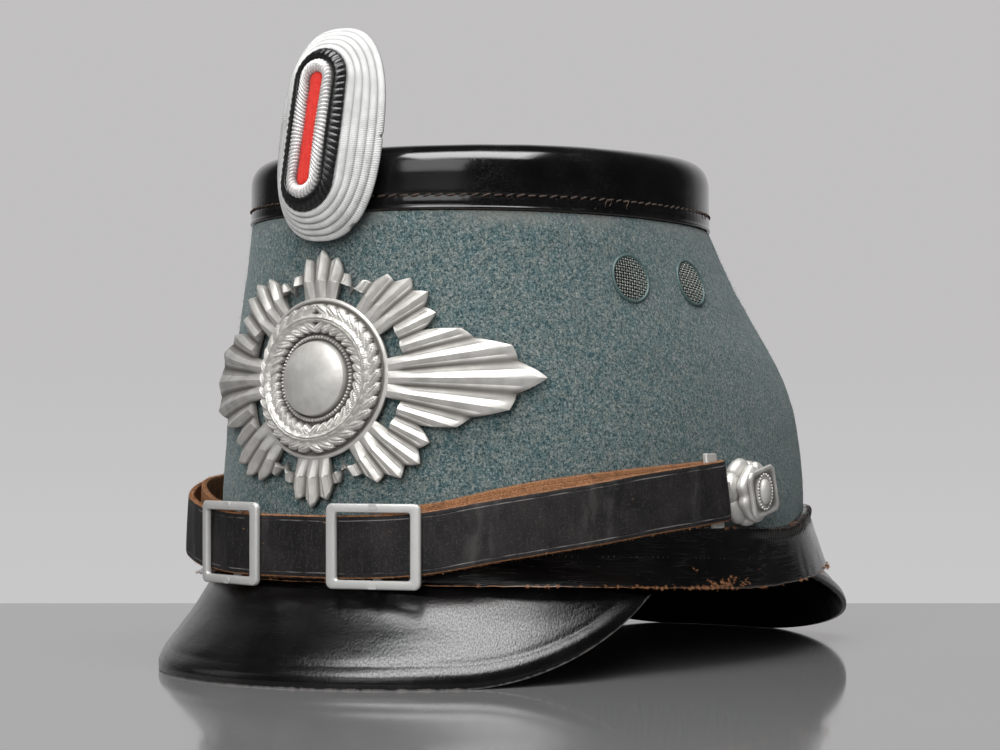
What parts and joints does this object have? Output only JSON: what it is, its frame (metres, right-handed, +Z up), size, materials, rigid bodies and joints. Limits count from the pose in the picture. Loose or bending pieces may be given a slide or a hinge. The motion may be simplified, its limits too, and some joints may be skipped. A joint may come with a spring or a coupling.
{
  "type": "shako hat",
  "caption": "Felt shako with a leather crown top and base band, front and rear visors, buckled chin strap, star plate and oval cockade; stands on its visors.",
  "frame": {"origin": "middle of the footprint, on the surface that the two visors stand on", "axes": "+X towards the wearer's left, -Y towards the front, +Z up"},
  "size_m": [0.1892, 0.264, 0.1862],
  "materials": {
    "felt": "dense wool felt, mottled blue-green and grey",
    "black_leather": "lacquered black leather, polished, lightly grained and scuffed",
    "strap_leather": "worn black strap leather with a bare tan back and edges",
    "cast_silver": "matt silver-washed casting",
    "grey_metal": "satin light grey metal",
    "black_cord": "black lacquered corded ring",
    "white_cord": "silver-white wound thread",
    "red_felt": "bright red felt",
    "vent_paint": "grey-green painted eyelet",
    "vent_wire": "painted fine wire mesh"
  },
  "bodies": {
    "root": {"crown_wall": "felt", "crown_top": "black_leather", "base_band": "black_leather", "front_visor": "black_leather", "rear_visor": "black_leather", "front_plate": "cast_silver", "cockade_shell": "cast_silver", "cockade_black_ring": "black_cord", "cockade_white_ring": "white_cord", "cockade_core": "red_felt", "cockade_prong": "grey_metal", "vent_left_front_ring": "vent_paint", "vent_left_front_mesh": "vent_wire", "vent_left_back_ring": "vent_paint", "vent_left_back_mesh": "vent_wire", "vent_right_front_ring": "vent_paint", "vent_right_front_mesh": "vent_wire", "vent_right_back_ring": "vent_paint", "vent_right_back_mesh": "vent_wire", "chin_strap_left": "strap_leather", "chin_strap_right": "strap_leather", "hanger_left": "cast_silver", "hanger_right": "cast_silver", "buckle_left": "grey_metal", "buckle_right": "grey_metal", "rosette_left": "cast_silver", "rosette_right": "cast_silver"}
  },
  "joints": []
}
